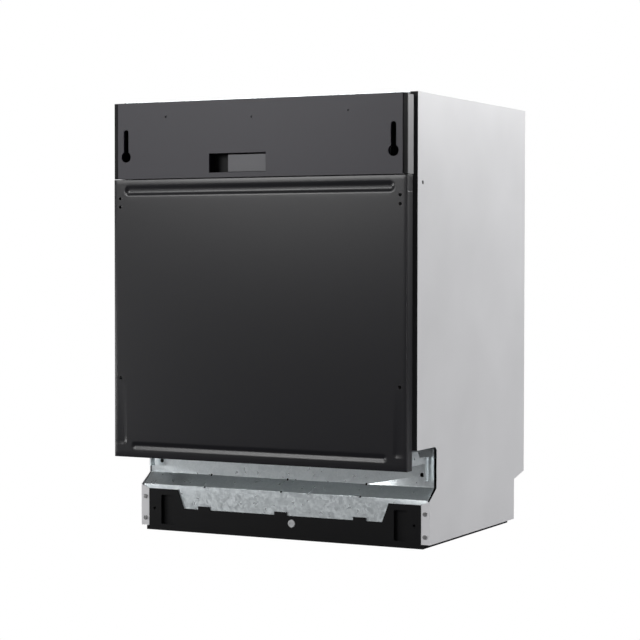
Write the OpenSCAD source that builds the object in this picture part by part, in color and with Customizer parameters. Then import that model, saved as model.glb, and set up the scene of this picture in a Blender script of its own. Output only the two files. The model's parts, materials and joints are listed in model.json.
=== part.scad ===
// Fully integrated built-in dishwasher, 60 cm class, without its furniture door.
// Millimetres. X to the right, Y to the back, Z up. Origin on the floor, in the middle of the footprint.

/* [Cabinet] */
// Width over the side panels
body_w = 598; // [590:1:600]
// Height from the floor to the top frame
body_h = 802; // [800:1:815]
// Depth from the door's face to the back panel
total_d = 550; // [546:1:560]
// How far the door's face stands in front of the side panels
door_proud = 40; // [39:0.5:41]
// Thickness of the painted side sheets
sheet = 1; // [0.8:0.1:1.2]

/* [Front] */
// Height of the door's lower edge above the floor
door_bottom = 146.4; // [145.5:0.1:147]
// Height of the door's upper edge above the floor
door_top = 797.5; // [796.5:0.5:798]
// Height of the joint between the door sheet and the control panel
panel_joint = 658; // [655:1:661]
// Half of the distance between the two keyholes
keyhole_x = 271; // [262:1:273]
// Height of the round end of each keyhole
keyhole_z = 699; // [696:0.5:702]
// Radius of the round end of each keyhole
keyhole_r = 10; // [9:0.5:10.5]
// Height of the black base front at its two ends
kick_h = 78; // [75:1:80]
// Height of the black base front between its ends
kick_low = 43.5; // [41:0.5:47]

/* [Inside] */
// Half of the clear width of the wash chamber
tub_x = 272; // [268:1:272]
// Height of the wash chamber's floor
tub_floor = 190; // [189:1:190]
// Height of the wash chamber's roof
tub_roof = 777; // [771:1:777]
// Radius that the spray arms sweep
arm_sweep = 190; // [170:1:192]
// Radius of the lower rack's wheels
wheel_r = 14; // [12:1:14]

/* [Hidden] */
$fn = 48;

half_w = body_w / 2;
face_y = -total_d / 2;
body_y = face_y + door_proud;
back_y = total_d / 2;
door_half = half_w - 2;
flange_y = body_y + 55.6;
kick_y = body_y + 54.5;
hinge_y = body_y - 20;
hinge_z = 164;
tub_back = back_y - 22;
liner_y = body_y - 6;
panel_color = [0.90, 0.90, 0.91];
zinc = [0.70, 0.76, 0.76];
steel = [0.78, 0.78, 0.77];
black = [0.03, 0.03, 0.035];
wire = [0.55, 0.57, 0.60];

// A box given by its low and high corners
module span(low, high) {
    translate(low)
        cube(high - low);
}

// An outline drawn in Y and Z, given a thickness from x0 to x1
module side_plate(x0, x1) {
    translate([x0, 0, 0])
        rotate([90, 0, 90])
            linear_extrude(x1 - x0)
                children();
}

// An outline drawn in X and Z, given a thickness from y0 to y1
module front_plate(y0, y1) {
    translate([0, y1, 0])
        rotate([90, 0, 0])
            linear_extrude(y1 - y0)
                children();
}

// A rod along Y from y0 to y1
module rod_y(x, z, r, y0, y1) {
    translate([x, y0, z])
        rotate([-90, 0, 0])
            cylinder(r = r, h = y1 - y0);
}

// A rod along X from x0 to x1
module rod_x(y, z, r, x0, x1) {
    translate([x0, y, z])
        rotate([0, 90, 0])
            cylinder(r = r, h = x1 - x0);
}

module both_sides() {
    children();
    mirror([1, 0, 0])
        children();
}

// A slot with round ends, width 2r, centred on [x, z]
module stadium(x, z, half_len, r) {
    translate([x - half_len + r, z - r])
        square([2 * (half_len - r), 2 * r]);
    for (s = [-1, 1])
        translate([x + s * (half_len - r), z])
            circle(r = r);
}

/* Cabinet shell */

notch_back = body_y + 85.5;
notch_top = 180;
flange_top = 85.5;
panel_foot = 7.8;

module side_outline() {
    difference() {
        polygon([[body_y, body_h], [back_y, body_h], [back_y, 97], [back_y - 51.5, 85.5],
                 [back_y - 51.5, panel_foot], [flange_y, panel_foot], [flange_y, flange_top],
                 [notch_back, 105.6], [notch_back, notch_top - 6], [notch_back - 6, notch_top],
                 [body_y, notch_top]]);
        translate([body_y + 21.8, 645.7])
            circle(r = 3.5);
    }
}

module side_panel_sheet() {
    flange = 15;
    difference() {
        union() {
            side_plate(half_w - sheet, half_w)
                side_outline();
            span([half_w - flange, body_y, notch_top], [half_w, body_y + sheet, body_h]);
            span([half_w - flange, back_y - sheet, 98], [half_w, back_y, body_h]);
            front_plate(flange_y, flange_y + sheet)
                polygon([[half_w - 17, 8], [half_w, 8], [half_w, flange_top], [half_w - 17, 78]]);
        }
        for (z = [22, 62.5])
            rod_y(half_w - 9.5, z, 2.05, flange_y - 5, flange_y + 5);
    }
}

module side_panel_right() {
    color(panel_color)
        side_panel_sheet();
}

module side_panel_left() {
    color(panel_color)
        mirror([1, 0, 0])
            side_panel_sheet();
}

module back_panel() {
    color(zinc)
        difference() {
            span([-half_w + 1.2, back_y - 2.2, 98], [half_w - 1.2, back_y - 1.2, body_h - 9]);
            for (z = [220 : 120 : 700])
                front_plate(back_y - 3, back_y)
                    stadium(0, z, 120, 4);
        }
}

module top_frame() {
    edge = half_w - 1.2;
    color(zinc)
        difference() {
            span([-edge, body_y + 1.2, body_h - 8], [edge, back_y - 2.5, body_h]);
            span([-edge + 1.5, body_y + 2.7, body_h - 9], [edge - 1.5, back_y - 4, body_h - 1.2]);
            span([-238, body_y + 75, body_h - 9], [238, back_y - 80, body_h + 1]);
            both_sides()
                span([half_w - 43, body_y, body_h - 3.2], [half_w - 16, body_y + 6, body_h - 1.2]);
            for (x = [-235, 235])
                translate([x, body_y + 25, body_h - 9])
                    cylinder(r = 3, h = 12);
        }
}

module worktop_brackets() {
    top = body_h - 1.4;
    color(zinc)
        both_sides()
            difference() {
                span([half_w - 42, body_y - 22, top - 1.4], [half_w - 17, body_y + 45, top]);
                translate([half_w - 29, body_y - 11, top - 5])
                    cylinder(r = 2.5, h = 8);
            }
}

/* Wash chamber */

tub_wall = 1;
well_x = 70;
well_y = 80;
salt_x = -150;
salt_y = 120;

module tub() {
    outer = tub_x + tub_wall;
    color(steel)
        difference() {
            union() {
                span([-outer, body_y + 4, tub_floor - tub_wall], [outer, tub_back + tub_wall, tub_roof + tub_wall]);
                span([-half_w + 10, body_y + 2, 186], [half_w - 10, body_y + 4, tub_roof + 9]);
            }
            span([-tub_x, body_y - 1, tub_floor], [tub_x, tub_back, tub_roof]);
            span([-well_x, -well_y, tub_floor - 5], [well_x, well_y, tub_floor + 1]);
            translate([salt_x, salt_y, tub_floor - 5])
                cylinder(r = 31, h = 8);
            span([-22, body_y, tub_roof + tub_wall], [22, body_y + 6, tub_roof + 12]);
        }
}

module tub_gasket() {
    color(black)
        difference() {
            span([-tub_x - 11, body_y - 4, 200], [tub_x + 11, body_y + 1.7, tub_roof + 1.5]);
            span([-tub_x - 2, body_y - 5, 199], [tub_x + 2, body_y + 5, tub_roof - 4]);
        }
}

module insulation() {
    outer = tub_x + 9;
    inner = tub_x + tub_wall + 0.3;
    color([0.12, 0.12, 0.13])
        difference() {
            span([-outer, body_y + 25, 200], [outer, tub_back + 8, tub_roof + 7]);
            span([-inner, body_y, 190], [inner, tub_back + tub_wall + 0.3, tub_roof + tub_wall + 0.3]);
        }
}

module latch_strike() {
    seat = tub_roof + tub_wall;
    color(zinc)
        span([-10, body_y + 9, seat], [10, body_y + 13, seat + 3.2]);
}

module sump() {
    wall = 3;
    color([0.2, 0.21, 0.22]) {
        difference() {
            span([-66, -76, 118], [66, 76, 187.7]);
            span([-66 + wall, -76 + wall, 118 + wall], [66 - wall, 76 - wall, 190]);
            rod_x(30, 140, 12, 50, 80);
            rod_y(-40, 138, 9, 60, 90);
        }
        translate([0, 30, 118])
            difference() {
                cylinder(r = 10, h = 90);
                translate([0, 0, 10])
                    cylinder(r = 7.5, h = 90);
            }
    }
}

module filter_plate() {
    color(steel)
        difference() {
            span([-well_x + 0.3, -well_y + 0.3, 188], [well_x - 0.3, well_y - 0.3, 189.5]);
            translate([0, 30, 180])
                cylinder(r = 10.4, h = 20);
            translate([0, -35, 180])
                cylinder(r = 34, h = 20);
            for (sx = [-1, 1], k = [0 : 4])
                translate([sx * 52, -60 + k * 30, 180])
                    cylinder(r = 4, h = 20);
        }
}

module filter_cup() {
    color([0.75, 0.76, 0.78])
        translate([0, -35, 0]) {
            difference() {
                translate([0, 0, 130])
                    cylinder(r = 32, h = 66);
                translate([0, 0, 134])
                    cylinder(r = 29, h = 70);
            }
            span([-29.5, -3, 176], [29.5, 3, 195]);
        }
}

module softener() {
    color([0.86, 0.87, 0.88])
        difference() {
            union() {
                span([-262, 88, 22], [-104, 205, 176]);
                translate([salt_x, salt_y, 176])
                    cylinder(r = 30, h = 13.5);
            }
            translate([salt_x, salt_y, 40])
                cylinder(r = 26, h = 160);
        }
}

module salt_cap() {
    color([0.25, 0.30, 0.42])
        translate([salt_x, salt_y, 0]) {
            translate([0, 0, 170])
                cylinder(r = 25.7, h = 22);
            translate([0, 0, 190.3])
                cylinder(r = 35, h = 7);
            span([-24, -4, 197], [24, 4, 203]);
        }
}

/* Base */

tray_half = 281;
tray_front = kick_y + 7.5;
tray_step = -125;
tray_back = back_y - 53;
foot_x = 245;
foot_y = -140;
shaft_x = 23.5;
shaft_z = 29.7;
rear_foot_y = 180;

module base_tray() {
    wall = 3;
    color(black)
        difference() {
            union() {
                side_plate(-tray_half, tray_half)
                    polygon([[tray_front, 0], [tray_back, 0], [tray_back, 118], [tray_step, 118], [tray_step, 76],
                             [tray_front, 76]]);
                span([-286, kick_y + 3, 0], [286, tray_back, 7]);
            }
            side_plate(-tray_half + wall, tray_half - wall)
                polygon([[tray_front + wall, 7], [tray_back - wall, 7], [tray_back - wall, 130], [tray_step + wall, 130],
                         [tray_step + wall, 76 - wall], [tray_front + wall, 76 - wall]]);
            for (s = [-1, 1])
                translate([s * foot_x, foot_y, -1])
                    cylinder(r = 22, h = 20);
            translate([shaft_x, rear_foot_y, -1])
                cylinder(r = 22, h = 20);
            rod_y(shaft_x, shaft_z, 4, tray_front - 5, tray_front + 10);
            rod_y(220, 40, 9.2, tray_back - 10, tray_back + 10);
            rod_y(-210, 60, 9.8, tray_back - 10, tray_back + 10);
            rod_y(-60, 70, 14, tray_back - 10, tray_back + 10);
            span([-150, tray_front + 30, -1], [150, tray_front + 60, 8]);
        }
}

module kick_outline() {
    tab = 12.5;
    difference() {
        union() {
            polygon([[-286.5, 0], [286.5, 0], [286.5, 7.5], [281.2, 7.5], [281.2, kick_h], [219, kick_h],
                     [206, kick_low], [-206, kick_low], [-219, kick_h], [-281.2, kick_h], [-281.2, 7.5],
                     [-286.5, 7.5]]);
            for (x = [-162, 0, 161])
                translate([x - tab, 30])
                    square([2 * tab, kick_low - 24]);
        }
        for (s = [-1, 1]) {
            translate([s * 242 - 12.5, 12])
                square([25, 55]);
            translate([s * 269, 41])
                circle(r = 2.5);
        }
        translate([shaft_x, shaft_z])
            circle(r = 7.6);
    }
}

module kick_front() {
    color(black)
        front_plate(kick_y, kick_y + 2.6)
            kick_outline();
}

module front_apron() {
    low = kick_y + 2.9;
    high = body_y + 84;
    crease_high = 106.3;
    crease_low = 86.3;
    color(zinc)
        difference() {
            side_plate(-half_w + 5, half_w - 5)
                polygon([[low, 39], [low, crease_low], [high, crease_high], [high, 177], [high + 1, 177],
                         [high + 1, crease_high - 0.6], [low + 1, crease_low - 0.6], [low + 1, 39]]);
            for (x = [-162, 0, 161]) {
                rod_y(x, crease_high, 2.2, high - 3, high + 3);
                rod_y(x, crease_low, 2.2, low - 3, low + 3);
            }
            both_sides() {
                rod_y(271, 128.4, 4, high - 3, high + 3);
                span([222, low - 2, 30], [half_w, low + 2, 72]);
            }
        }
}

module front_screws() {
    color([0.80, 0.81, 0.82])
        both_sides()
            for (z = [22, 62.5]) {
                rod_y(half_w - 9.5, z, 4, flange_y - 2.2, flange_y);
                rod_y(half_w - 9.5, z, 2, flange_y - 1, flange_y + 8);
            }
}

bracket_x = 283;
module hinge_brackets() {
    color(zinc)
        both_sides() {
            difference() {
                side_plate(bracket_x, bracket_x + 3) {
                    translate([hinge_y, hinge_z])
                        circle(r = 11);
                    polygon([[hinge_y, hinge_z - 11], [hinge_y + 19, 151], [body_y + 64, 151], [body_y + 64, 119],
                             [body_y + 78, 119], [body_y + 78, 161], [body_y + 57, 163], [body_y + 40, 164],
                             [body_y + 31, 176], [body_y + 6, 176], [hinge_y, hinge_z + 11]]);
                }
                rod_x(hinge_y + 27, 165, 1.8, bracket_x - 1, bracket_x + 4);
                rod_x(hinge_y + 38, 163, 1.8, bracket_x - 1, bracket_x + 4);
            }
            rod_x(hinge_y, hinge_z, 4, bracket_x, 293.5);
        }
}

spring_y = 200;
spring_x = 289;
spring_top = 470;
spring_low = 300;
module door_springs() {
    color([0.35, 0.36, 0.38])
        both_sides()
            translate([spring_x, spring_y, spring_low])
                difference() {
                    cylinder(r = 7.5, h = spring_top - spring_low);
                    translate([0, 0, 2])
                        cylinder(r = 5, h = spring_top - spring_low - 4);
                }
}

module spring_hooks() {
    color([0.15, 0.15, 0.16])
        both_sides() {
            translate([spring_x, spring_y, spring_low - 90])
                cylinder(r = 2.5, h = 84);
            translate([spring_x, spring_y, spring_low - 8])
                cylinder(r = 7, h = 7.7);
        }
}

module circulation_pump() {
    color([0.25, 0.26, 0.28]) {
        rod_x(30, 140, 11.7, 62, 90);
        difference() {
            union() {
                rod_x(30, 92, 40, 88, 112);
                rod_x(30, 92, 34, 112, 190);
                span([88, 18, 92], [100, 42, 152]);
            }
            rod_x(30, 92, 8, 184, 200);
        }
    }
}

module drain_pump() {
    color([0.12, 0.25, 0.22]) {
        rod_y(-40, 138, 8.7, 70, 84);
        span([-52, 80, 96], [-28, 92, 148]);
        rod_y(-40, 108, 22, 92, 150);
    }
}

module inlet_valve() {
    color([0.85, 0.86, 0.88]) {
        span([-90, 170, 50], [-40, 205, 96]);
        rod_y(-60, 70, 13.2, 204, tray_back + 22);
    }
}

module water_case() {
    color([0.88, 0.89, 0.90])
        difference() {
            span([-half_w + 3, -90, 300], [-half_w + 16, 150, 600]);
            for (z = [330 : 50 : 560])
                span([-half_w + 2, -75, z], [-half_w + 5, 135, z + 30]);
        }
}

module mains_gland() {
    color(black)
        difference() {
            union() {
                rod_y(220, 40, 9, tray_back - 12, tray_back + 12);
                rod_y(220, 40, 13, tray_back, tray_back + 5);
            }
            rod_y(220, 40, 5, tray_back - 13, tray_back + 13);
        }
}

module drain_spigot() {
    color([0.8, 0.81, 0.83])
        difference() {
            union() {
                rod_y(-210, 60, 9.5, tray_back - 12, tray_back + 35);
                rod_y(-210, 60, 14, tray_back, tray_back + 4);
            }
            rod_y(-210, 60, 7, tray_back - 13, tray_back + 36);
        }
}

module foot(x, y) {
    translate([x, y, 0]) {
        translate([0, 0, 0.3])
            cylinder(r = 20, h = 6);
        translate([0, 0, 6])
            cylinder(r = 6, h = 66);
    }
}

module foot_front_left() {
    color(black)
        foot(-foot_x, foot_y);
}

module foot_front_right() {
    color(black)
        foot(foot_x, foot_y);
}

module foot_rear() {
    color(black)
        foot(shaft_x, rear_foot_y);
}

module rear_foot_shaft() {
    color([0.85, 0.85, 0.83])
        difference() {
            union() {
                rod_y(shaft_x, shaft_z, 3, kick_y + 2, rear_foot_y - 12);
                rod_y(shaft_x, shaft_z, 7, kick_y - 0.5, kick_y + 6);
            }
            translate([shaft_x - 5, kick_y - 2, shaft_z - 0.9])
                cube([10, 4, 1.8]);
        }
}

/* Door */

return_y = face_y + 23;
bead_x = 275.5;
bead_z = 637.2;
low_bead_x = 261;
low_bead_z = 168;
hole_x = 283.9;

module bead(z, half_len, r) {
    front_plate(face_y, face_y + 3.2)
        stadium(0, z, half_len + 1.2, r + 1.2);
}

module bead_pocket(z, half_len, r) {
    front_plate(face_y - 1, face_y + 2)
        stadium(0, z, half_len, r);
}

module door_outer_panel() {
    top = panel_joint - 0.5;
    color(black)
        difference() {
            union() {
                difference() {
                    span([-door_half, face_y, door_bottom], [door_half, return_y, top]);
                    span([-door_half + 1.2, face_y + 1.2, door_bottom + 1.2],
                         [door_half - 1.2, return_y + 1, top - 1.2]);
                }
                bead(bead_z, bead_x, 11.1);
                bead(low_bead_z, low_bead_x, 8.8);
            }
            bead_pocket(bead_z, bead_x, 11.1);
            bead_pocket(low_bead_z, low_bead_x, 8.8);
            both_sides() {
                for (z = [292.3, 607.5, 622.8])
                    rod_y(hole_x, z, 3, face_y - 1, face_y + 5);
                rod_y(279.6, 177.7, 3.5, face_y - 1, face_y + 5);
                span([bracket_x - 4, face_y + 3, door_bottom - 1], [door_half - 1.2, return_y + 1, door_bottom + 2]);
            }
            span([-250, face_y + 12, top - 3], [250, return_y + 1, top + 1]);
        }
}

module keyhole(x) {
    translate([x, keyhole_z])
        circle(r = keyhole_r);
    translate([x - 5.2, keyhole_z])
        square([10.4, 44.5]);
    translate([x, keyhole_z + 44.5])
        circle(r = 5.2);
}

window_low = [-94.8, 667.5];
window_high = [21.4, 701.8];

module control_panel() {
    color([0.045, 0.04, 0.05])
        difference() {
            union() {
                span([-door_half, face_y + 1.5, panel_joint + 0.5], [door_half, face_y + 4, door_top]);
                span([-door_half + 8.6, face_y, panel_joint + 0.5], [door_half - 8.6, face_y + 2, door_top]);
            }
            front_plate(face_y - 1, face_y + 5) {
                keyhole(-keyhole_x);
                keyhole(keyhole_x);
                translate(window_low)
                    square(window_high - window_low);
            }
            for (x = [-185, -7, 185])
                rod_y(x, x == -7 ? 765 : 770.3, 2, face_y - 1, face_y + 2.4);
        }
}

button_y = face_y + 18;
button_x = [-225, -165, 225];
module control_housing() {
    low = panel_joint + 1;
    high = door_top - 2;
    front = face_y + 4.2;
    back = liner_y - 5.6;
    wall = 2;
    color([0.72, 0.73, 0.75])
        difference() {
            union() {
                difference() {
                    span([-door_half + 1, front, low], [door_half - 1, back, high]);
                    span([-door_half + 1 + wall, front + wall, low + wall], [door_half - 1 - wall, back + 1, high - wall]);
                }
                span([window_low[0] - 2, front, window_low[1] - 2], [window_high[0] + 2, front + 22, window_high[1] + 2]);
            }
            span([window_low[0], front - 1, window_low[1]], [window_high[0], front + 20, window_high[1]]);
            front_plate(front - 1, front + 6) {
                keyhole(-keyhole_x);
                keyhole(keyhole_x);
            }
            for (x = button_x)
                translate([x, button_y, high - 8])
                    cylinder(r = 6.4, h = 12);
            span([-240, front + 6, low - 1], [240, back - 2, low + wall + 1]);
        }
}

module recess_plate() {
    color([0.33, 0.33, 0.35])
        span([-59, face_y + 6, window_low[1] + 0.4], [window_high[0] - 0.4, face_y + 24.2, window_high[1] - 2.4]);
}

module push_button(x) {
    color([0.15, 0.15, 0.17])
        translate([x, button_y, 0]) {
            translate([0, 0, door_top - 12])
                cylinder(r = 6, h = 12);
            translate([0, 0, door_top - 14])
                cylinder(r = 7.5, h = 3);
        }
}

module power_button() {
    push_button(button_x[0]);
}

module program_button() {
    push_button(button_x[1]);
}

module start_button() {
    push_button(button_x[2]);
}

module control_board() {
    color([0.05, 0.30, 0.15]) {
        span([-240, face_y + 25.4, 732], [240, face_y + 27, 778]);
        for (x = [-180 : 90 : 180])
            span([x - 12, face_y + 27, 742], [x + 12, face_y + 32, 762]);
    }
}

disp_low = [-95, 430];
disp_high = [75, 560];
module door_liner() {
    skin = 1;
    inside = liner_y + 18;
    color(steel)
        difference() {
            union() {
                span([-door_half + 8, liner_y, 180], [door_half - 8, liner_y + skin, door_top - 2.5]);
                span([-262, liner_y, 190], [262, inside, tub_roof - 7]);
            }
            span([-262 + skin, liner_y - 1, 190 + skin], [262 - skin, inside - skin, tub_roof - 7 - skin]);
            span([disp_low[0] - 0.3, liner_y - 2, disp_low[1] - 0.3], [disp_high[0] + 0.3, inside + 2, disp_high[1] + 0.3]);
            span([-14, liner_y - 2, tub_roof + 2], [14, inside + 2, tub_roof + 14]);
        }
}

module door_lower_seal() {
    color(black)
        span([-270, face_y + 30, 156], [270, liner_y + 1, 179.7]);
}

arm_x = 287;
module hinge_arms() {
    color([0.45, 0.47, 0.48])
        both_sides()
            difference() {
                side_plate(arm_x, arm_x + 3) {
                    translate([hinge_y, hinge_z])
                        circle(r = 11);
                    polygon([[hinge_y - 11, hinge_z], [hinge_y - 18, 200], [hinge_y - 18, 420], [hinge_y + 5, 420],
                             [hinge_y + 5, 200], [hinge_y + 9, hinge_z + 6]]);
                }
                rod_x(hinge_y, hinge_z, 4.05, arm_x - 1, arm_x + 4);
            }
}

latch_y = face_y + 24;
latch_z = tub_roof + 9;
module latch_hook() {
    color([0.3, 0.3, 0.32])
        difference() {
            union() {
                span([-7, latch_y - 4, latch_z - 1], [7, body_y + 19, latch_z + 2]);
                span([-7, body_y + 15.5, latch_z - 3.3], [7, body_y + 19, latch_z]);
                rod_x(latch_y, latch_z, 3.5, -9, 9);
            }
            rod_x(latch_y, latch_z, 1.5, -10, 10);
        }
}

module dispenser() {
    front = liner_y - 10;
    back = liner_y + 34;
    color([0.62, 0.63, 0.65])
        difference() {
            union() {
                span([disp_low[0], front, disp_low[1]], [disp_high[0], back, disp_high[1]]);
                span([disp_low[0] - 6, liner_y + 18.2, disp_low[1] - 6], [disp_high[0] + 6, liner_y + 20, disp_high[1] + 6]);
            }
            span([-80, front + 6, 448], [-10, back + 1, 542]);
            rod_y(40, 518, 15, front + 6, back + 1);
        }
}

module dispenser_lid() {
    low = liner_y + 34.5;
    color([0.70, 0.71, 0.73])
        union() {
            span([-88, low, 440], [-3, low + 3, 550]);
            span([-60, low + 3, 535], [-30, low + 5, 545]);
        }
}

module rinse_cap() {
    low = liner_y + 34.4;
    color([0.25, 0.30, 0.42]) {
        rod_y(40, 518, 14.7, low - 12, low + 1);
        rod_y(40, 518, 19, low, low + 4);
        span([25, low + 4, 516], [55, low + 6.5, 520]);
    }
}

/* Racks, rails and spray arms */

rack_front = body_y + 45;
rack_back = back_y - 60;

// A flat grille of square bars: outline w by h, with nx by ny windows and bars of width bar
module grille(w, h, nx, ny, bar) {
    step_x = (w - bar) / nx;
    step_y = (h - bar) / ny;
    difference() {
        square([w, h]);
        for (i = [0 : nx - 1], j = [0 : ny - 1])
            translate([bar + i * step_x, bar + j * step_y])
                square([step_x - bar, step_y - bar]);
    }
}

// A basket of five flat grilles, a floor and four walls, with a welded seam of width weld between them
weld = 0.1;
module wire_basket(x0, x1, y0, y1, z0, z1, nx, ny, nz) {
    bar = 4;
    inset = bar + weld;
    translate([x0 + inset, y0 + inset, z0])
        linear_extrude(bar)
            grille(x1 - x0 - 2 * inset, y1 - y0 - 2 * inset, nx, ny, bar);
    for (y = [y0, y1 - bar])
        front_plate(y, y + bar)
            translate([x0, z0])
                grille(x1 - x0, z1 - z0, nx, nz, bar);
    for (x = [x0, x1 - bar])
        side_plate(x, x + bar)
            translate([y0 + inset, z0])
                grille(y1 - y0 - 2 * inset, z1 - z0, ny, nz, bar);
}

upper_x = 252;
upper_z = 500;
module upper_rack() {
    color(wire) {
        wire_basket(-upper_x, upper_x, rack_front, rack_back, upper_z, upper_z + 135, 10, 8, 3);
        both_sides()
            span([upper_x, rack_front + 30, 591], [upper_x + 7, rack_back - 30, 609]);
    }
}

shelf_z = 590;
module cup_shelf(side) {
    color([0.55, 0.57, 0.60])
        translate([side > 0 ? 165 : -243, -130, shelf_z])
            linear_extrude(4)
                grille(78, 240, 3, 6, 4);
}

module cup_shelf_left() {
    cup_shelf(-1);
}

module cup_shelf_right() {
    cup_shelf(1);
}

module rail_guides() {
    color(steel)
        both_sides()
            span([267.5, body_y + 60, 588], [tub_x, rack_back - 5, 612]);
}

module upper_rails() {
    color([0.65, 0.66, 0.68])
        both_sides()
            span([260, body_y + 52, 590], [266.8, rack_back - 10, 610]);
}

// A hollow arm with a hub: two tapered wings, drawn from above
module spray_arm(x, y, z, sweep, thick) {
    translate([x, y, z])
        difference() {
            linear_extrude(thick)
                union() {
                    circle(r = 30);
                    polygon([[-30, -12], [30, -26], [sweep - 16, -16], [sweep - 16, 16], [30, 26], [-30, 12]]);
                    polygon([[30, 12], [-30, 26], [-sweep + 16, 16], [-sweep + 16, -16], [-30, -26], [30, -12]]);
                    for (s = [-1, 1])
                        translate([s * (sweep - 16), 0])
                            circle(r = 16);
                }
            for (s = [-1, 1], k = [0 : 4])
                translate([s * (52 + k * 27), (k % 2) * 12 - 6, thick - 2])
                    cylinder(r = 1.8, h = 4);
        }
}

module lower_spray_arm() {
    color([0.70, 0.71, 0.73])
        spray_arm(0, 30, 208.4, arm_sweep, 9);
}

feed_y = 15;
module upper_spray_arm() {
    color([0.70, 0.71, 0.73])
        spray_arm(0, feed_y, 474, arm_sweep, 9);
}

module spray_feed() {
    color([0.35, 0.36, 0.38]) {
        translate([0, feed_y, 483.4])
            cylinder(r = 14, h = 16.3);
        rod_y(0, 491.5, 8, feed_y, rack_back + 8);
        translate([0, rack_back + 10, 483])
            cylinder(r = 10, h = 16);
    }
}

lower_x = 246;
lower_z = 226;
axle_z = tub_floor + wheel_r + 0.8;
wheel_y = [-150, 160];
module lower_rack() {
    color(wire) {
        wire_basket(-lower_x, lower_x, rack_front, rack_back, lower_z, lower_z + 114, 10, 8, 3);
        both_sides()
            for (y = wheel_y) {
                span([lower_x - 4, y - 5, axle_z - 4], [lower_x, y + 5, lower_z + 2]);
                rod_x(y, axle_z, 3, lower_x - 4, lower_x + 12);
            }
    }
}

module wheel_pair(y) {
    color([0.60, 0.61, 0.64])
        both_sides()
            difference() {
                rod_x(y, axle_z, wheel_r, lower_x + 1, lower_x + 10);
                rod_x(y, axle_z, 3.06, lower_x, lower_x + 11);
            }
}

module lower_wheels_front() {
    wheel_pair(wheel_y[0]);
}

module lower_wheels_rear() {
    wheel_pair(wheel_y[1]);
}

tine_z = 236;
module tine_row(y) {
    color(wire) {
        rod_x(y, tine_z, 2.2, -236, 236);
        for (x = [-225 : 30 : 225])
            translate([x, y, tine_z])
                cylinder(r = 1.7, h = 78);
    }
}

module tine_row_front() {
    tine_row(-60);
}

module tine_row_rear() {
    tine_row(60);
}

module cutlery_basket() {
    low = [20, rack_front + 8, lower_z + 6];
    high = [236, rack_front + 88, lower_z + 112];
    color([0.50, 0.51, 0.54])
        difference() {
            span(low, high);
            for (k = [0 : 2])
                span([low[0] + 3 + k * 71, low[1] + 3, low[2] + 3], [low[0] + 71 + k * 71, high[1] - 3, high[2] + 1]);
        }
}

side_panel_left();
side_panel_right();
back_panel();
top_frame();
worktop_brackets();
tub();
tub_gasket();
insulation();
base_tray();
kick_front();
front_apron();
front_screws();
hinge_brackets();
door_springs();
spring_hooks();
sump();
circulation_pump();
drain_pump();
inlet_valve();
water_case();
softener();
salt_cap();
filter_plate();
filter_cup();
rail_guides();
latch_strike();
foot_front_left();
foot_front_right();
foot_rear();
rear_foot_shaft();
mains_gland();
drain_spigot();
door_outer_panel();
control_panel();
control_housing();
door_liner();
door_lower_seal();
hinge_arms();
latch_hook();
control_board();
recess_plate();
power_button();
program_button();
start_button();
dispenser();
dispenser_lid();
rinse_cap();
lower_spray_arm();
upper_spray_arm();
spray_feed();
upper_rack();
cup_shelf_left();
cup_shelf_right();
upper_rails();
lower_rack();
lower_wheels_front();
lower_wheels_rear();
tine_row_front();
tine_row_rear();
cutlery_basket();
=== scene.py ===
import bpy
import bmesh
import json
import math
from mathutils import Matrix, Vector


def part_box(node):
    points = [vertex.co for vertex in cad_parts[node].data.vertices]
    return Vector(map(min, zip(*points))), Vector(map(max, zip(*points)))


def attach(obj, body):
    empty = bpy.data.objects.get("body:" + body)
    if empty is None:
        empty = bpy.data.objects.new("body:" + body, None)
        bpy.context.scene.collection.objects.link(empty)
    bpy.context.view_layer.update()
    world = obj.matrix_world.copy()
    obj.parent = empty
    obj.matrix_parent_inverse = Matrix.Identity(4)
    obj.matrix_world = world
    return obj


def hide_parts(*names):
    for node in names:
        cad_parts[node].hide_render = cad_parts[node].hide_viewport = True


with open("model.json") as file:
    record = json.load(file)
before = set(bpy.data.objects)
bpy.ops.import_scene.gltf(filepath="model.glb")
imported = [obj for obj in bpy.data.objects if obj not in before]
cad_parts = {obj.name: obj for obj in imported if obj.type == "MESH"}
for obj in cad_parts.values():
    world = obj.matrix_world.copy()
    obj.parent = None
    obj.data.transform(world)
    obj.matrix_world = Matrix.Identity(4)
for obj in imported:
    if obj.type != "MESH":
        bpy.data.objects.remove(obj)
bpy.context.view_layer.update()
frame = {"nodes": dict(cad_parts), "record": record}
bodyOfNode = {n: b for b, members in frame["record"]["behaviour"]["bodies"].items() for n in members}
slotOfNode = {s["node"]: s["material_slot"] for s in frame["record"]["subparts"]}
print("frame loaded:", len(frame["nodes"]), "nodes")

# small helpers


def addNode(tree, kind, place=(0, 0), **settings):
    node = tree.nodes.new(kind)
    node.location = place
    for key, value in settings.items():
        setattr(node, key, value)
    return node


def wire(tree, source, target):
    tree.links.new(source, target)


def makeGroup(name, inputs, outputs):
    group = bpy.data.node_groups.new(name, "ShaderNodeTree")
    for label, kind, default in inputs:
        socket = group.interface.new_socket(label, in_out="INPUT", socket_type=kind)
        socket.default_value = default
    for label, kind in outputs:
        group.interface.new_socket(label, in_out="OUTPUT", socket_type=kind)
    return group, addNode(group, "NodeGroupInput", (-900, 0)), addNode(group, "NodeGroupOutput", (700, 0))


def useGroup(tree, group, place=(0, 0), **values):
    node = addNode(tree, "ShaderNodeGroup", place, node_tree=group)
    for key, value in values.items():
        node.inputs[key].default_value = value
    return node


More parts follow.
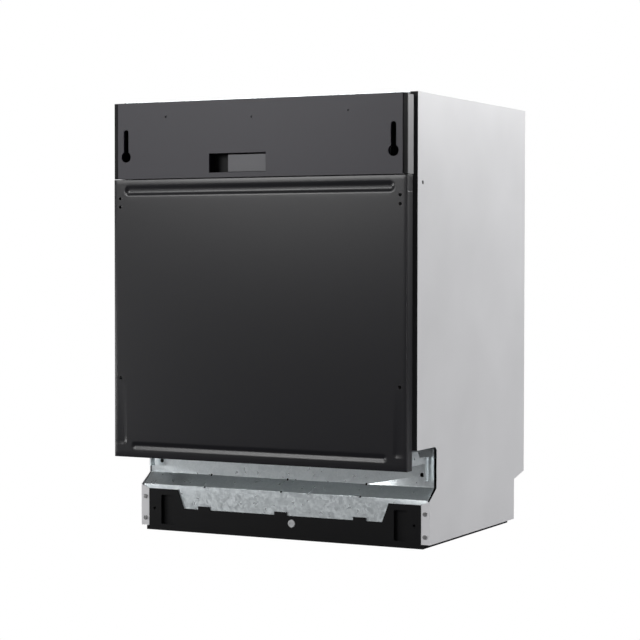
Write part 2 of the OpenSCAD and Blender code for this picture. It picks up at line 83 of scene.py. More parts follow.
def buildEdgeWear():
    # white on sharp edges, broken up by noise
    group, groupIn, groupOut = makeGroup(
        "edgeWear",
        [("Radius", "NodeSocketFloat", 0.001), ("Strength", "NodeSocketFloat", 1.0),
         ("Breakup", "NodeSocketFloat", 60.0)],
        [("Mask", "NodeSocketFloat")],
    )
    bevel = addNode(group, "ShaderNodeBevel", (-600, 200), samples=4)
    geometry = addNode(group, "ShaderNodeNewGeometry", (-600, 0))
    dot = addNode(group, "ShaderNodeVectorMath", (-400, 100), operation="DOT_PRODUCT")
    edge = addNode(group, "ShaderNodeMapRange", (-200, 100))
    edge.inputs["From Min"].default_value = 0.995
    edge.inputs["From Max"].default_value = 0.85
    coords = addNode(group, "ShaderNodeTexCoord", (-800, -250))
    noise = addNode(group, "ShaderNodeTexNoise", (-400, -250))
    noise.inputs["Detail"].default_value = 4
    patch = addNode(group, "ShaderNodeMapRange", (-200, -250))
    patch.inputs["From Min"].default_value = 0.42
    patch.inputs["From Max"].default_value = 0.62
    both = addNode(group, "ShaderNodeMath", (100, 0), operation="MULTIPLY")
    scaled = addNode(group, "ShaderNodeMath", (300, 0), operation="MULTIPLY", use_clamp=True)
    wire(group, groupIn.outputs["Radius"], bevel.inputs["Radius"])
    wire(group, bevel.outputs["Normal"], dot.inputs[0])
    wire(group, geometry.outputs["Normal"], dot.inputs[1])
    wire(group, dot.outputs["Value"], edge.inputs["Value"])
    wire(group, coords.outputs["Object"], noise.inputs["Vector"])
    wire(group, groupIn.outputs["Breakup"], noise.inputs["Scale"])
    wire(group, noise.outputs["Fac"], patch.inputs["Value"])
    wire(group, edge.outputs["Result"], both.inputs[0])
    wire(group, patch.outputs["Result"], both.inputs[1])
    wire(group, both.outputs["Value"], scaled.inputs[0])
    wire(group, groupIn.outputs["Strength"], scaled.inputs[1])
    wire(group, scaled.outputs["Value"], groupOut.inputs["Mask"])
    return group


def buildGrain():
    # fine moulded or sprayed texture with a slow change over the part
    group, groupIn, groupOut = makeGroup(
        "surfaceGrain",
        [("Scale", "NodeSocketFloat", 900.0), ("Slow", "NodeSocketFloat", 6.0),
         ("Stretch", "NodeSocketVector", (1, 1, 1))],
        [("Fine", "NodeSocketFloat"), ("Broad", "NodeSocketFloat")],
    )
    coords = addNode(group, "ShaderNodeTexCoord", (-800, -100))
    stretch = addNode(group, "ShaderNodeVectorMath", (-600, 0), operation="MULTIPLY")
    fine = addNode(group, "ShaderNodeTexNoise", (-200, 150))
    fine.inputs["Detail"].default_value = 3
    fine.inputs["Roughness"].default_value = 0.6
    broad = addNode(group, "ShaderNodeTexNoise", (-200, -150))
    broad.inputs["Detail"].default_value = 2
    wire(group, coords.outputs["Object"], stretch.inputs[0])
    wire(group, groupIn.outputs["Stretch"], stretch.inputs[1])
    wire(group, stretch.outputs["Vector"], fine.inputs["Vector"])
    wire(group, groupIn.outputs["Scale"], fine.inputs["Scale"])
    wire(group, coords.outputs["Object"], broad.inputs["Vector"])
    wire(group, groupIn.outputs["Slow"], broad.inputs["Scale"])
    wire(group, fine.outputs["Fac"], groupOut.inputs["Fine"])
    wire(group, broad.outputs["Fac"], groupOut.inputs["Broad"])
    return group


def buildSpangle():
    # the frosty crystals of hot-dip zinc
    group, groupIn, groupOut = makeGroup(
        "zincSpangle",
        [("Scale", "NodeSocketFloat", 220.0)],
        [("Crystal", "NodeSocketFloat"), ("Border", "NodeSocketFloat")],
    )
    coords = addNode(group, "ShaderNodeTexCoord", (-800, 0))
    bend = addNode(group, "ShaderNodeTexNoise", (-600, -200))
    bend.inputs["Scale"].default_value = 90
    mixed = addNode(group, "ShaderNodeMix", (-400, 0), data_type="VECTOR")
    mixed.inputs["Factor"].default_value = 0.02
    cells = addNode(group, "ShaderNodeTexVoronoi", (-200, 100))
    border = addNode(group, "ShaderNodeTexVoronoi", (-200, -150), feature="DISTANCE_TO_EDGE")
    tone = addNode(group, "ShaderNodeSeparateColor", (100, 100))
    wire(group, coords.outputs["Object"], bend.inputs["Vector"])
    wire(group, coords.outputs["Object"], mixed.inputs["A"])
    wire(group, bend.outputs["Color"], mixed.inputs["B"])
    wire(group, mixed.outputs["Result"], cells.inputs["Vector"])
    wire(group, mixed.outputs["Result"], border.inputs["Vector"])
    wire(group, groupIn.outputs["Scale"], cells.inputs["Scale"])
    wire(group, groupIn.outputs["Scale"], border.inputs["Scale"])
    wire(group, cells.outputs["Color"], tone.inputs["Color"])
    wire(group, tone.outputs["Red"], groupOut.inputs["Crystal"])
    wire(group, border.outputs["Distance"], groupOut.inputs["Border"])
    return group


edgeWear = buildEdgeWear()
surfaceGrain = buildGrain()
zincSpangle = buildSpangle()
print("shared node groups built")

# materials


def startMaterial(name):
    material = bpy.data.materials.new(name)
    material.use_nodes = True
    tree = material.node_tree
    tree.nodes.clear()
    output = addNode(tree, "ShaderNodeOutputMaterial", (900, 0))
    shader = addNode(tree, "ShaderNodeBsdfPrincipled", (600, 0))
    wire(tree, shader.outputs["BSDF"], output.inputs["Surface"])
    return material, tree, shader


def ramp(tree, low, high, place=(0, 0)):
    node = addNode(tree, "ShaderNodeMapRange", place)
    node.inputs["To Min"].default_value = low
    node.inputs["To Max"].default_value = high
    return node


def mixColour(tree, first, second, place=(0, 0)):
    node = addNode(tree, "ShaderNodeMix", place, data_type="RGBA")
    node.inputs["A"].default_value = (*first, 1)
    node.inputs["B"].default_value = (*second, 1)
    return node


def grainyMaterial(name, colour, worn, rough, metallic=0.0, grain=900.0, bump=0.15, depth=0.00005,
                   wear=0.35, stretch=(1, 1, 1), coat=0.0, specular=0.5):
    # body colour that drifts a little, worn edges, fine bump
    material, tree, shader = startMaterial(name)
    marks = useGroup(tree, surfaceGrain, (-600, 0), Scale=grain, Stretch=stretch)
    wornEdges = useGroup(tree, edgeWear, (-600, -300), Strength=wear)
    drift = mixColour(tree, [c * 0.9 for c in colour], [min(1, c * 1.08) for c in colour], (-300, 200))
    edge = mixColour(tree, colour, worn, (0, 100))
    roughness = ramp(tree, rough * 0.85, min(1, rough * 1.15), (-300, -50))
    lift = addNode(tree, "ShaderNodeBump", (300, -300))
    lift.inputs["Strength"].default_value = bump
    lift.inputs["Distance"].default_value = depth
    wire(tree, marks.outputs["Broad"], drift.inputs["Factor"])
    wire(tree, drift.outputs["Result"], edge.inputs["A"])
    wire(tree, wornEdges.outputs["Mask"], edge.inputs["Factor"])
    wire(tree, edge.outputs["Result"], shader.inputs["Base Color"])
    wire(tree, marks.outputs["Fine"], roughness.inputs["Value"])
    wire(tree, roughness.outputs["Result"], shader.inputs["Roughness"])
    wire(tree, marks.outputs["Fine"], lift.inputs["Height"])
    wire(tree, lift.outputs["Normal"], shader.inputs["Normal"])
    shader.inputs["Metallic"].default_value = metallic
    shader.inputs["Coat Weight"].default_value = coat
    shader.inputs["Specular IOR Level"].default_value = specular
    return material


def zincMaterial(name, dark, light, rough, scale):
    material, tree, shader = startMaterial(name)
    crystals = useGroup(tree, zincSpangle, (-700, 100), Scale=scale)
    marks = useGroup(tree, surfaceGrain, (-700, -100), Scale=500.0)
    wornEdges = useGroup(tree, edgeWear, (-700, -300), Strength=0.5)
    tone = mixColour(tree, dark, light, (-300, 200))
    cloudy = mixColour(tree, dark, light, (-50, 200))
    edge = mixColour(tree, light, [min(1, c * 1.15) for c in light], (200, 100))
    roughness = ramp(tree, rough * 0.8, rough * 1.25, (-300, -50))
    lift = addNode(tree, "ShaderNodeBump", (300, -300))
    lift.inputs["Strength"].default_value = 0.02
    lift.inputs["Distance"].default_value = 0.0001
    wire(tree, crystals.outputs["Crystal"], tone.inputs["Factor"])
    wire(tree, tone.outputs["Result"], cloudy.inputs["A"])
    cloudFactor = ramp(tree, 0.0, 0.6, (-300, -250))
    wire(tree, marks.outputs["Broad"], cloudFactor.inputs["Value"])
    wire(tree, cloudFactor.outputs["Result"], cloudy.inputs["Factor"])
    wire(tree, cloudy.outputs["Result"], edge.inputs["A"])
    wire(tree, wornEdges.outputs["Mask"], edge.inputs["Factor"])
    wire(tree, edge.outputs["Result"], shader.inputs["Base Color"])
    wire(tree, crystals.outputs["Crystal"], roughness.inputs["Value"])
    wire(tree, roughness.outputs["Result"], shader.inputs["Roughness"])
    wire(tree, crystals.outputs["Border"], lift.inputs["Height"])
    wire(tree, lift.outputs["Normal"], shader.inputs["Normal"])
    shader.inputs["Metallic"].default_value = 0.9
    return material


materials = {
    "white_paint": grainyMaterial("whitePaint", (0.80, 0.80, 0.815), (0.9, 0.9, 0.9), 0.42, grain=700,
                                  bump=0.12, wear=0.15),
    "galvanised": zincMaterial("galvanisedSheet", (0.70, 0.76, 0.78), (0.82, 0.87, 0.89), 0.34, 260.0),
    "stainless": grainyMaterial("brushedStainless", (0.66, 0.66, 0.65), (0.8, 0.8, 0.79), 0.36, 0.75,
                                grain=90, bump=0.12, wear=0.3, stretch=(1, 1, 26)),
    "black_rubber": grainyMaterial("blackRubber", (0.012, 0.012, 0.013), (0.05, 0.05, 0.05), 0.7, grain=500,
                                   bump=0.3),
    "base_plastic": grainyMaterial("basePlastic", (0.0022, 0.0022, 0.003), (0.015, 0.015, 0.017), 0.5,
                                   grain=1100, bump=0.3, specular=0.2),
    "door_paint": grainyMaterial("doorPaint", (0.0045, 0.0042, 0.0068), (0.04, 0.04, 0.046), 0.31,
                                 grain=1400, bump=0.08, wear=0.3),
    "panel_plastic": grainyMaterial("panelPlastic", (0.027, 0.025, 0.035), (0.07, 0.07, 0.078), 0.46,
                                    grain=1600, bump=0.25),
    "housing_plastic": grainyMaterial("housingPlastic", (0.19, 0.19, 0.195), (0.35, 0.35, 0.35), 0.45),
    "felt": grainyMaterial("bitumenFelt", (0.035, 0.034, 0.036), (0.08, 0.08, 0.08), 0.9, grain=260,
                           bump=0.8, depth=0.0006),
    "grey_plastic": grainyMaterial("greyPlastic", (0.13, 0.13, 0.14), (0.3, 0.3, 0.3), 0.5),
    "light_plastic": grainyMaterial("lightPlastic", (0.60, 0.61, 0.62), (0.75, 0.75, 0.75), 0.42),
    "blue_plastic": grainyMaterial("bluePlastic", (0.05, 0.09, 0.20), (0.2, 0.25, 0.35), 0.42),
    "rack_wire": grainyMaterial("rackWire", (0.34, 0.35, 0.38), (0.5, 0.5, 0.52), 0.4, grain=400),
    "board": grainyMaterial("circuitBoard", (0.01, 0.09, 0.035), (0.2, 0.3, 0.2), 0.35, grain=200, coat=0.3),
    "spring_steel": grainyMaterial("springSteel", (0.22, 0.22, 0.23), (0.5, 0.5, 0.5), 0.35, 1.0, grain=300),
    "screw_steel": grainyMaterial("screwSteel", (0.42, 0.42, 0.42), (0.8, 0.8, 0.8), 0.3, 1.0, grain=300),
}
print("materials built:", len(materials))

# finishing of pieces


def place(bm, name, node, bevel=None, angle=35, fresh=True):
    # turns a bmesh into a finished piece that stands for its CAD node
    if fresh:
        bmesh.ops.remove_doubles(bm, verts=bm.verts, dist=1e-6)
        bmesh.ops.recalc_face_normals(bm, faces=bm.faces)
    mesh = bpy.data.meshes.new(name)
    bm.to_mesh(mesh)
    bm.free()
    for polygon in mesh.polygons:
        polygon.use_smooth = True
    mesh.set_sharp_from_angle(angle=math.radians(angle))
    piece = bpy.data.objects.new(name, mesh)
    bpy.context.scene.collection.objects.link(piece)
    slot = slotOfNode[node]
    mesh.materials.append(materials[slot])
    if bevel:
        rounding = piece.modifiers.new("edgeRounding", "BEVEL")
        rounding.width = bevel
        rounding.segments = 2
        rounding.limit_method = "ANGLE"
        rounding.angle_limit = math.radians(30)
        rounding.harden_normals = True
    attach(piece, bodyOfNode[node])
    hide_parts(node)
    return piece


def softCopy(node, width):
    # the CAD shape with its sharp edges rounded
    bm = bmesh.new()
    bm.from_mesh(frame["nodes"][node].data)
    bmesh.ops.remove_doubles(bm, verts=bm.verts, dist=2e-6)
    bmesh.ops.dissolve_limit(bm, angle_limit=math.radians(0.5), verts=bm.verts, edges=bm.edges)
    return place(bm, node + "_piece", node, bevel=width, fresh=False)


def cutAll(bm, point, normal):
    # adds edges where a plane crosses the mesh
    bmesh.ops.bisect_plane(bm, geom=bm.verts[:] + bm.edges[:] + bm.faces[:], plane_co=point, plane_no=normal)


def paintFaces(piece, material, test):
    # gives a second material to the faces that pass the test, which also lays painted shade
    piece.data.materials.append(material)
    for polygon in piece.data.polygons:
        if test(polygon.center, polygon.normal):
            polygon.material_index = len(piece.data.materials) - 1


rounded = {
    "side_panel_left": 0.0004, "side_panel_right": 0.0004, "back_panel": 0.0003, "top_frame": 0.0004,
    "worktop_brackets": 0.0003, "base_tray": 0.0006, "kick_front": 0.0005, "front_apron": 0.0003,
    "hinge_brackets": 0.0003, "hinge_arms": 0.0003, "sump": 0.001, "circulation_pump": 0.001,
    "drain_pump": 0.001, "inlet_valve": 0.001, "water_case": 0.001, "softener": 0.002, "salt_cap": 0.0008,
    "filter_cup": 0.0005,
    "rear_foot_shaft": 0.0003, "mains_gland": 0.0005, "drain_spigot": 0.0005, "control_panel": 0.0005,
    "control_housing": 0.0006, "door_lower_seal": 0.001, "latch_hook": 0.0004, "recess_plate": 0.0008,
    "power_button": 0.0006, "program_button": 0.0006, "start_button": 0.0006, "dispenser": 0.001,
    "dispenser_lid": 0.0008, "rinse_cap": 0.0008, "lower_spray_arm": 0.0015, "upper_spray_arm": 0.0015,
    "spray_feed": 0.0008, "upper_rails": 0.0005, "rail_guides": 0.0005, "foot_front_left": 0.0006,
    "foot_front_right": 0.0006, "foot_rear": 0.0006, "lower_wheels_front": 0.0008,
    "lower_wheels_rear": 0.0008,
    "cutlery_basket": 0.0005, "door_liner": 0.0006, "tub": 0.0004,
    "spring_hooks": 0.0006, "front_screws": 0.0006, "filter_plate": 0.0003, "latch_strike": 0.0003,
    "cup_shelf_left": 0.0008, "cup_shelf_right": 0.0008, "control_board": 0.0002,
}
soft = {node: softCopy(node, width) for node, width in rounded.items()}

# closed pockets behind the two keyholes, at the ends of the housing; their plates are painted black with the
# housing's inside faces below, as painted shade seen through the keyholes
keyholeShadePocket = {"inner": 0.255, "outer": 0.295, "low": 0.665, "high": 0.79, "thick": 0.001}
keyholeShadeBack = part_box("control_housing")[1][1] - keyholeShadePocket["thick"] / 2
bm = bmesh.new()
bm.from_mesh(soft["control_housing"].data)
for side in (-1, 1):
    middle = Vector((side * (keyholeShadePocket["inner"] + keyholeShadePocket["outer"]) / 2, keyholeShadeBack,
                     (keyholeShadePocket["low"] + keyholeShadePocket["high"]) / 2))
    plate = Vector((keyholeShadePocket["outer"] - keyholeShadePocket["inner"], keyholeShadePocket["thick"],
                    keyholeShadePocket["high"] - keyholeShadePocket["low"]))
    bmesh.ops.create_cube(bm, size=1, matrix=Matrix.Translation(middle) @ Matrix.Diagonal(plate).to_4x4())
bm.to_mesh(soft["control_housing"].data)
bm.free()

# faces given a second material: near-black control panel ends, painted shade on the housing's inside faces
# and on the side panels' front flanges, and grey on the right part of the recess plate
finishAndPaintedShade = {
    "panelEnd": 0.0087, "housingSkin": 0.0015, "housingTop": 0.003, "shadedFlangeDepth": 0.0015, "shadedFlangeLow": 0.18,
    "recessBright": 0.0125,
}
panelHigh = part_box("control_panel")[1]


def onPanelEnd(c, n):
    return abs(c.x) > panelHigh[0] - finishAndPaintedShade["panelEnd"]


# every face of the housing but its outer sides and top is painted black: painted shade inside the housing
def shadedHousingInside(c, n):
    outerSide = n.x * c.x > 0 and abs(n.x) > 0.9 and abs(c.x) > panelHigh[0] - finishAndPaintedShade["housingSkin"]
    topFace = n.z > 0.9 and c.z > panelHigh[2] - finishAndPaintedShade["housingTop"]
    return not (outerSide or topFace)


paintFaces(soft["control_panel"], materials["base_plastic"], onPanelEnd)
paintFaces(soft["control_housing"], materials["base_plastic"], shadedHousingInside)
# the front flange faces of both side panels are painted black rubber: painted shade of the door in the
# narrow gap beside it
for side in ("side_panel_left", "side_panel_right"):
    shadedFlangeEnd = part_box(side)[0][1] + finishAndPaintedShade["shadedFlangeDepth"]
    paintFaces(soft[side], materials["black_rubber"],
               lambda c, n: abs(n.y) > 0.9 and c.y < shadedFlangeEnd and c.z > finishAndPaintedShade["shadedFlangeLow"])
bm = bmesh.new()
bm.from_mesh(soft["recess_plate"].data)
cutAll(bm, (finishAndPaintedShade["recessBright"], 0, 0), (1, 0, 0))
bm.to_mesh(soft["recess_plate"].data)
bm.free()
paintFaces(soft["recess_plate"], materials["grey_plastic"], lambda c, n: c.x > finishAndPaintedShade["recessBright"])
print("rounded pieces:", len(rounded))


def gridFace(bm, low, high, xLines, zLines, y):
    # a flat sheet facing the front, cut along the given lines
    bmesh.ops.create_grid(bm, x_segments=1, y_segments=1, size=0.5)
    bmesh.ops.rotate(bm, verts=bm.verts, matrix=Matrix.Rotation(math.radians(90), 3, "X"))
    bmesh.ops.scale(bm, verts=bm.verts, vec=(high[0] - low[0], 1, high[1] - low[1]))
    bmesh.ops.translate(bm, verts=bm.verts, vec=((low[0] + high[0]) / 2, y, (low[1] + high[1]) / 2))
    for axis, lines in ((0, xLines), (2, zLines)):
        for value in lines:
            point = [0, y, 0]
            point[axis] = value
            normal = [0, 0, 0]
            normal[axis] = 1
            cutAll(bm, point, normal)


def roundHole(bm, centre, radius, normalAxis, depth):
    # a round hole with a turned-in rim in the flat cell that holds the centre
    flat = [axis for axis in range(3) if axis != normalAxis]

    def holds(face):
        corners = [v.co for v in face.verts]
        return all(min(c[a] for c in corners) < centre[a] < max(c[a] for c in corners) for a in flat)

    cells = [f for f in bm.faces if abs(f.normal[normalAxis]) > 0.9 and holds(f)
             and abs(f.calc_center_median()[normalAxis] - centre[normalAxis]) < 0.004]
    if not cells:
        return
    cell = min(cells, key=lambda f: f.calc_area())
    bmesh.ops.inset_individual(bm, faces=[cell], thickness=radius * 0.1)
    bmesh.ops.subdivide_edges(bm, edges=cell.edges[:], cuts=4)
    cell = min((f for f in bm.faces if len(f.verts) >= 20 and holds(f)), key=lambda f: f.calc_area())
    ring = cell.verts[:]
    middle = Vector(centre)
    for v in ring:
        away = v.co - middle
        away[normalAxis] = 0
        v.co = v.co - away + away.normalized() * radius
    made = bmesh.ops.extrude_discrete_faces(bm, faces=[cell])["faces"]
    shift = [0, 0, 0]
    shift[normalAxis] = depth
    bmesh.ops.translate(bm, verts=made[0].verts, vec=shift)
    bmesh.ops.delete(bm, geom=made, context="FACES")


def spread(middle, reach, step):
    count = int(round(2 * reach / step))
    return [middle - reach + i * step for i in range(count + 1)]


# door sheet: pressed ribs, folded edges, screw holes, hinge slots

doorSheet = {
    # each rib is its height, half length, end radius and depth
    "ribs": ((0.6372, 0.2755, 0.0111, 0.0026), (0.168, 0.261, 0.0088, 0.0022)), "ribSlope": 0.0095,
    "ribEnds": ((0.2695, 0.0070, 0.00117), (0.2545, 0.0065, 0.0013)), "ribMargin": 0.0004, "ribSteps": 10,
    "holes": ((0.2839, 0.2923), (0.2839, 0.6075), (0.2839, 0.6228)), "holeRadius": 0.003,
    "holeReach": 0.0052, "holeRim": 0.002, "cellLines": (0.2785, 0.2893, 0.276, 0.2765),
    "corner": (0.2796, 0.1777), "cornerReach": 0.0079, "cornerRadius": 0.0085, "cornerDepth": 0.0016,
    "hingeSlot": (0.2792, 0.2958), "slotStart": 0.003, "edgeRadius": 0.0012, "sheet": 0.001,
}


def ribDepth(x, z):
    deepest = 0.0
    for ribZ, ribHalf, ribRadius, depth in doorSheet["ribs"]:
        along = max(0.0, abs(x) - (ribHalf - ribRadius))
        inside = (ribRadius - math.hypot(along, z - ribZ)) / doorSheet["ribSlope"]
        inside = min(1.0, max(0.0, inside))
        deepest = max(deepest, depth * inside * inside * (3 - 2 * inside))
    return deepest


def onFront(v, low):
    return v.co.y < low[1] + 0.0001


def insideRim(v, low, high):
    return low[0] + 0.001 < v.co.x < high[0] - 0.001 and low[2] + 0.001 < v.co.z < high[2] - 0.001


def cutHingeSlots(bm, low):
    # the openings in the bottom fold that the hinge brackets pass through
    slotIn, slotOut = doorSheet["hingeSlot"]
    slotStart = low[1] + doorSheet["slotStart"]
    cuts = [((side * x, 0, 0), (1, 0, 0)) for x in (slotIn, slotOut) for side in (-1, 1)]
    for point, normal in cuts + [((0, slotStart, 0), (0, 1, 0))]:
        bottom = [f for f in bm.faces if abs(f.normal.z) > 0.9 and f.calc_center_median().z < low[2] + 0.001]
        around = list({e for f in bottom for e in f.edges} | {v for f in bottom for v in f.verts})
        bmesh.ops.bisect_plane(bm, geom=bottom + around, plane_co=point, plane_no=normal)
    bm.normal_update()
    middles = [(f, f.calc_center_median()) for f in bm.faces if abs(f.normal.z) > 0.9]
    bottom = [(f, c) for f, c in middles if c.z < low[2] + 0.001]
    slots = [f for f, c in bottom if slotIn < abs(c.x) < slotOut and c.y > slotStart]
    bmesh.ops.delete(bm, geom=slots, context="FACES")


def buildDoorSheet():
    low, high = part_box("door_outer_panel")
    cornerX, cornerZ = doorSheet["corner"]
    bm = bmesh.new()
    xLines = []
    for ribEnd in doorSheet["ribEnds"]:
        xLines += spread(*ribEnd)
    xLines += doorSheet["cellLines"]
    zLines = []
    for ribZ, ribHalf, ribRadius, depth in doorSheet["ribs"]:
        reach = ribRadius + doorSheet["ribMargin"]
        zLines += spread(ribZ, reach, reach / doorSheet["ribSteps"])
    for holeX, holeZ in doorSheet["holes"]:
        zLines += [holeZ - doorSheet["holeReach"], holeZ + doorSheet["holeReach"]]
    zLines += [cornerZ - doorSheet["cornerReach"], cornerZ + doorSheet["cornerReach"]]
    xLines = [side * x for x in xLines for side in (-1, 1)]
    gridFace(bm, (low[0], low[2]), (high[0], high[2]), xLines, zLines, low[1])
    rim = [e for e in bm.edges if e.is_boundary]
    folded = bmesh.ops.extrude_edge_only(bm, edges=rim)["geom"]
    foldedVerts = [g for g in folded if isinstance(g, bmesh.types.BMVert)]
    bmesh.ops.translate(bm, verts=foldedVerts, vec=(0, high[1] - low[1], 0))
    bmesh.ops.recalc_face_normals(bm, faces=bm.faces)
    if sum(f.normal.y * f.calc_area() for f in bm.faces) > 0:
        bmesh.ops.reverse_faces(bm, faces=bm.faces)
    for holeX, holeZ in doorSheet["holes"]:
        for side in (-1, 1):
            roundHole(bm, (side * holeX, low[1], holeZ), doorSheet["holeRadius"], 1, doorSheet["holeRim"])
    for v in bm.verts:
        if onFront(v, low):
            v.co.y += ribDepth(v.co.x, v.co.z)
            away = math.hypot(abs(v.co.x) - cornerX, v.co.z - cornerZ) / doorSheet["cornerRadius"]
            v.co.y += doorSheet["cornerDepth"] * max(0.0, 1 - away ** 2)
    folds = [e for e in bm.edges if e.is_manifold and e.calc_face_angle() > 1.2
             and all(onFront(v, low) for v in e.verts) and not insideRim(e.verts[0], low, high)]
    bmesh.ops.bevel(bm, geom=folds, offset=doorSheet["edgeRadius"], offset_type="OFFSET", segments=3,
                    profile=0.5, affect="EDGES", material=-1)
    cutHingeSlots(bm, low)
    return place(bm, "door_sheet", "door_outer_panel", angle=50, fresh=False)


doorPiece = buildDoorSheet()
sheetThickness = doorPiece.modifiers.new("sheetThickness", "SOLIDIFY")
sheetThickness.thickness = doorSheet["sheet"]
sheetThickness.offset = -1
print("door sheet pressed")

# round wire for racks and tines


def addWire(bm, start, end, radius, sides=8):
    # one straight wire
    start = Vector(start)
    end = Vector(end)
    along = end - start
    turn = along.to_track_quat("Z", "Y").to_matrix().to_4x4()
    bmesh.ops.create_cone(bm, cap_ends=True, segments=sides, radius1=radius, radius2=radius,
                          depth=along.length, matrix=Matrix.Translation((start + end) / 2) @ turn)


wireRack = {
    "wire": 0.0016, "frameWire": 0.0024, "windows": (10, 8, 3), "upperHalf": 0.252, "lowerHalf": 0.246,
    "lowerFloor": 0.226, "railX": 0.2555, "railZ": 0.6, "railSize": (0.007, 0.018), "railShort": 0.06,
    "wheelY": (-0.150, 0.160), "legX": 0.2436, "legTop": 0.229, "axleZ": 0.2048,
    "axle": (0.242, 0.258, 0.0029),
}
tineRow = {
    "rows": (("tine_row_front", -0.060), ("tine_row_rear", 0.060)), "half": 0.236, "z": 0.236, "bar": 0.0022,
    "count": 16, "first": -0.225, "step": 0.03, "top": 0.3125, "wire": 0.0017, "tip": 0.3123,
}


def buildRack(low, high):
    # a basket of crossed wires inside the box from low to high
    bm = bmesh.new()
    thin = wireRack["wire"]
    thick = wireRack["frameWire"]
    x0, y0, z0 = (c + thick for c in low)
    x1, y1, z1 = (c - thick for c in high)
    across, deep, tall = wireRack["windows"]
    for i in range(across * 2 + 1):
        x = x0 + (x1 - x0) * i / (across * 2)
        addWire(bm, (x, y0, z0), (x, y1, z0), thin)
        if i % 2 == 0:
            addWire(bm, (x, y0, z0), (x, y0, z1), thin)
            addWire(bm, (x, y1, z0), (x, y1, z1), thin)
    for j in range(deep * 2 + 1):
        y = y0 + (y1 - y0) * j / (deep * 2)
        addWire(bm, (x0, y, z0 + thin), (x1, y, z0 + thin), thin)
        if j % 2 == 0:
            addWire(bm, (x0, y, z0), (x0, y, z1), thin)
            addWire(bm, (x1, y, z0), (x1, y, z1), thin)
    corners = ((x0, y0), (x1, y0), (x1, y1), (x0, y1))
    for k in range(tall + 1):
        z = z0 + (z1 - z0) * k / tall
        radius = thick if k in (0, tall) else thin
        for a, b in zip(corners, corners[1:] + corners[:1]):
            addWire(bm, (*a, z), (*b, z), radius)
    for x in (x0, x1):
        for y in (y0, y1):
            for z in (z1, z0):
                bmesh.ops.create_icosphere(bm, subdivisions=2, radius=thick,
                                           matrix=Matrix.Translation((x, y, z)))
    return bm


def buildRacks():
    low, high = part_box("upper_rack")
    half = wireRack["upperHalf"]
    bm = buildRack(Vector((-half, low[1], low[2])), Vector((half, high[1], high[2])))
    wide, tall = wireRack["railSize"]
    for side in (-1, 1):
        middle = (side * wireRack["railX"], (low[1] + high[1]) / 2, wireRack["railZ"])
        railShape = Matrix.Diagonal((wide, high[1] - low[1] - wireRack["railShort"], tall, 1))
        bmesh.ops.create_cube(bm, size=1, matrix=Matrix.Translation(middle) @ railShape)
    place(bm, "upper_wire_rack", "upper_rack", fresh=False)

    low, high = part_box("lower_rack")
    half = wireRack["lowerHalf"]
    bm = buildRack(Vector((-half, low[1], wireRack["lowerFloor"])), Vector((half, high[1], high[2])))
    axleIn, axleOut, axleRadius = wireRack["axle"]
    legX, axleZ = wireRack["legX"], wireRack["axleZ"]
    for side in (-1, 1):
        for y in wireRack["wheelY"]:
            addWire(bm, (side * legX, y, axleZ), (side * legX, y, wireRack["legTop"]), wireRack["frameWire"])
            addWire(bm, (side * axleIn, y, axleZ), (side * axleOut, y, axleZ), axleRadius, 16)
    place(bm, "lower_wire_rack", "lower_rack", fresh=False)

    for node, y in tineRow["rows"]:
        bm = bmesh.new()
        barZ, tine = tineRow["z"], tineRow["wire"]
        addWire(bm, (-tineRow["half"], y, barZ), (tineRow["half"], y, barZ), tineRow["bar"], 12)
        for i in range(tineRow["count"]):
            x = tineRow["first"] + tineRow["step"] * i
            addWire(bm, (x, y, barZ), (x, y, tineRow["top"]), tine)
            bmesh.ops.create_icosphere(bm, subdivisions=1, radius=tine,
                                       matrix=Matrix.Translation((x, y, tineRow["tip"])))
        place(bm, node + "_wires", node, fresh=False)


buildRacks()
print("racks and tines bent")

# coil springs beside the tub

doorSpring = {
    "coilRadius": 0.0062, "wire": 0.0012, "turns": 46, "x": 0.289, "y": 0.2, "low": 0.301, "high": 0.469,
    "turnSteps": 14,
}


def buildSprings():
    bm = bmesh.new()
    steps = doorSpring["turns"] * doorSpring["turnSteps"]
    rise = (doorSpring["high"] - doorSpring["low"]) / steps
    upright = Matrix.Rotation(math.radians(90), 4, "X")
    for side in (-1, 1):
        x = side * doorSpring["x"]
        first = (x + doorSpring["coilRadius"], doorSpring["y"], doorSpring["low"])
        ring = bmesh.ops.create_circle(bm, cap_ends=False, segments=6, radius=doorSpring["wire"],
                                       matrix=Matrix.Translation(first) @ upright)["verts"]
        edges = list({e for v in ring for e in v.link_edges})
        bmesh.ops.spin(bm, geom=ring + edges, cent=(x, doorSpring["y"], 0), axis=(0, 0, 1),
                       dvec=(0, 0, rise), angle=math.radians(360 * doorSpring["turns"]), steps=steps,
                       use_duplicate=False)
    ends = [e for e in bm.edges if e.is_boundary]
    bmesh.ops.holes_fill(bm, edges=ends, sides=6)
    place(bm, "door_spring_coils", "door_springs")


buildSprings()
print("springs wound")

for node, thing in frame["nodes"].items():
    thing.data.materials.clear()
    thing.data.materials.append(materials[slotOfNode[node]])

# stage, light and camera

stage = {"floorSize": 30.0, "floorColour": (0.30, 0.30, 0.31), "floorRough": 0.9, "seen": (1.0, 1.0, 1.0)}
skyGlow = {"from": -0.05, "to": 0.6, "horizon": 0.42, "zenith": 0.10}


def showWhiteToCamera(tree, shaderOut, target, colour):
    # plain white where the camera looks at it directly, softer as a light source
    path = addNode(tree, "ShaderNodeLightPath", (0, 300))
    glow = addNode(tree, "ShaderNodeEmission" if tree.type == "SHADER" else "ShaderNodeBackground", (0, 100))
    glow.inputs["Color"].default_value = (*colour, 1)
    mix = addNode(tree, "ShaderNodeMixShader", (300, 100))
    wire(tree, path.outputs["Is Camera Ray"], mix.inputs["Fac"])
    wire(tree, shaderOut, mix.inputs[1])
    wire(tree, glow.outputs[0], mix.inputs[2])
    wire(tree, mix.outputs["Shader"], target)


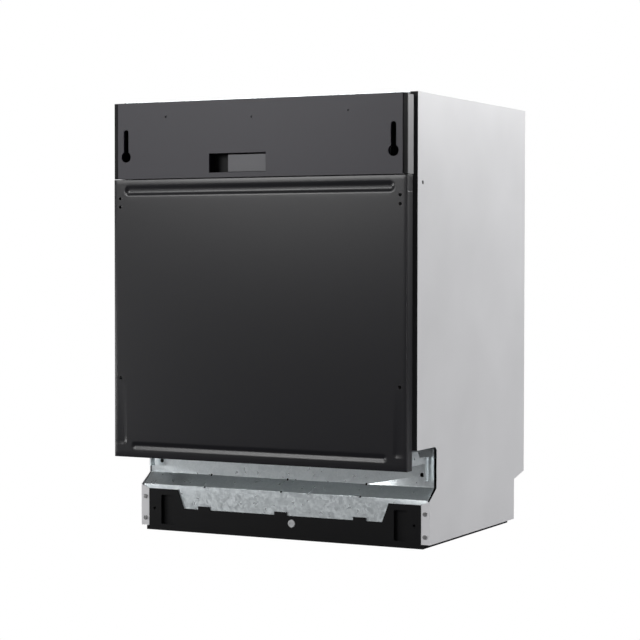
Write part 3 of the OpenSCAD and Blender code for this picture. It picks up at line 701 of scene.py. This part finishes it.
bm = bmesh.new()
bmesh.ops.create_grid(bm, x_segments=1, y_segments=1, size=stage["floorSize"])
floorMesh = bpy.data.meshes.new("floor")
bm.to_mesh(floorMesh)
bm.free()
floor = bpy.data.objects.new("floor", floorMesh)
bpy.context.scene.collection.objects.link(floor)
floorMaterial, floorTree, floorShader = startMaterial("paleFloor")
floorShader.inputs["Base Color"].default_value = (*stage["floorColour"], 1)
floorShader.inputs["Roughness"].default_value = stage["floorRough"]
floorOut = floorTree.nodes["Material Output"]
showWhiteToCamera(floorTree, floorShader.outputs["BSDF"], floorOut.inputs["Surface"], stage["seen"])
floorMesh.materials.append(floorMaterial)

world = bpy.data.worlds.new("studio")
bpy.context.scene.world = world
world.use_nodes = True
worldTree = world.node_tree
worldTree.nodes.clear()
worldOut = addNode(worldTree, "ShaderNodeOutputWorld", (700, 0))
sky = addNode(worldTree, "ShaderNodeBackground", (0, -100))
coords = addNode(worldTree, "ShaderNodeTexCoord", (-700, -100))
split = addNode(worldTree, "ShaderNodeSeparateXYZ", (-500, -100))
height = addNode(worldTree, "ShaderNodeMapRange", (-300, -100))
height.inputs["From Min"].default_value = skyGlow["from"]
height.inputs["From Max"].default_value = skyGlow["to"]
height.inputs["To Min"].default_value = skyGlow["horizon"]
height.inputs["To Max"].default_value = skyGlow["zenith"]
wire(worldTree, coords.outputs["Generated"], split.inputs["Vector"])
wire(worldTree, split.outputs["Z"], height.inputs["Value"])
wire(worldTree, height.outputs["Result"], sky.inputs["Strength"])
showWhiteToCamera(worldTree, sky.outputs["Background"], worldOut.inputs["Surface"], stage["seen"])

lights = {
    "mirrorSoft": {"at": (-1.3, -2.8, 1.2), "aim": (0, -0.28, 0.6), "size": (1.0, 0.6), "power": 13},
    "mirrorHigh": {"at": (-1.3, -2.8, 1.6), "aim": (0, -0.28, 0.6), "size": (1.4, 0.6), "power": 18},
    "backRight": {"at": (1.7, 2.4, 1.7), "aim": (0.3, -0.1, 0.7), "size": (1.0, 1.0), "power": 55},
    "rightKey": {"at": (1.9, 0.1, 2.0), "aim": (0.3, 0.05, 0.75), "size": (0.9, 0.9), "power": 14},
    "rightLow": {"at": (1.9, -2.7, 0.3), "aim": (0, -0.2, 0.12), "size": (1.0, 0.4), "power": 10},
    "leftLow": {"at": (-2.4, -1.7, 0.14), "aim": (0, -0.2, 0.12), "size": (1.0, 0.22), "power": 13},
}
for name, spec in lights.items():
    lamp = bpy.data.lights.new(name, "AREA")
    lamp.shape = "RECTANGLE"
    lamp.size, lamp.size_y = spec["size"]
    lamp.energy = spec["power"]
    lampObject = bpy.data.objects.new(name, lamp)
    bpy.context.scene.collection.objects.link(lampObject)
    lampObject.location = spec["at"]
    aim = Vector(spec["aim"]) - Vector(spec["at"])
    lampObject.rotation_euler = aim.to_track_quat("-Z", "Y").to_euler()

view = {"at": (1.6951, -3.3350, 0.5132), "azimuth": 27.09, "down": 1.794, "roll": -0.065, "lens": 110.437}
camera = bpy.data.cameras.new("camera")
camera.lens = view["lens"]
camera.sensor_width = 36
camera.clip_end = 100
cameraObject = bpy.data.objects.new("camera", camera)
bpy.context.scene.collection.objects.link(cameraObject)
cameraObject.location = view["at"]
cameraTurn = (90 - view["down"], view["roll"], view["azimuth"])
cameraObject.rotation_euler = [math.radians(degrees) for degrees in cameraTurn]
bpy.context.scene.camera = cameraObject
bpy.context.scene.view_settings.view_transform = "Standard"
print("stage, light and camera placed")
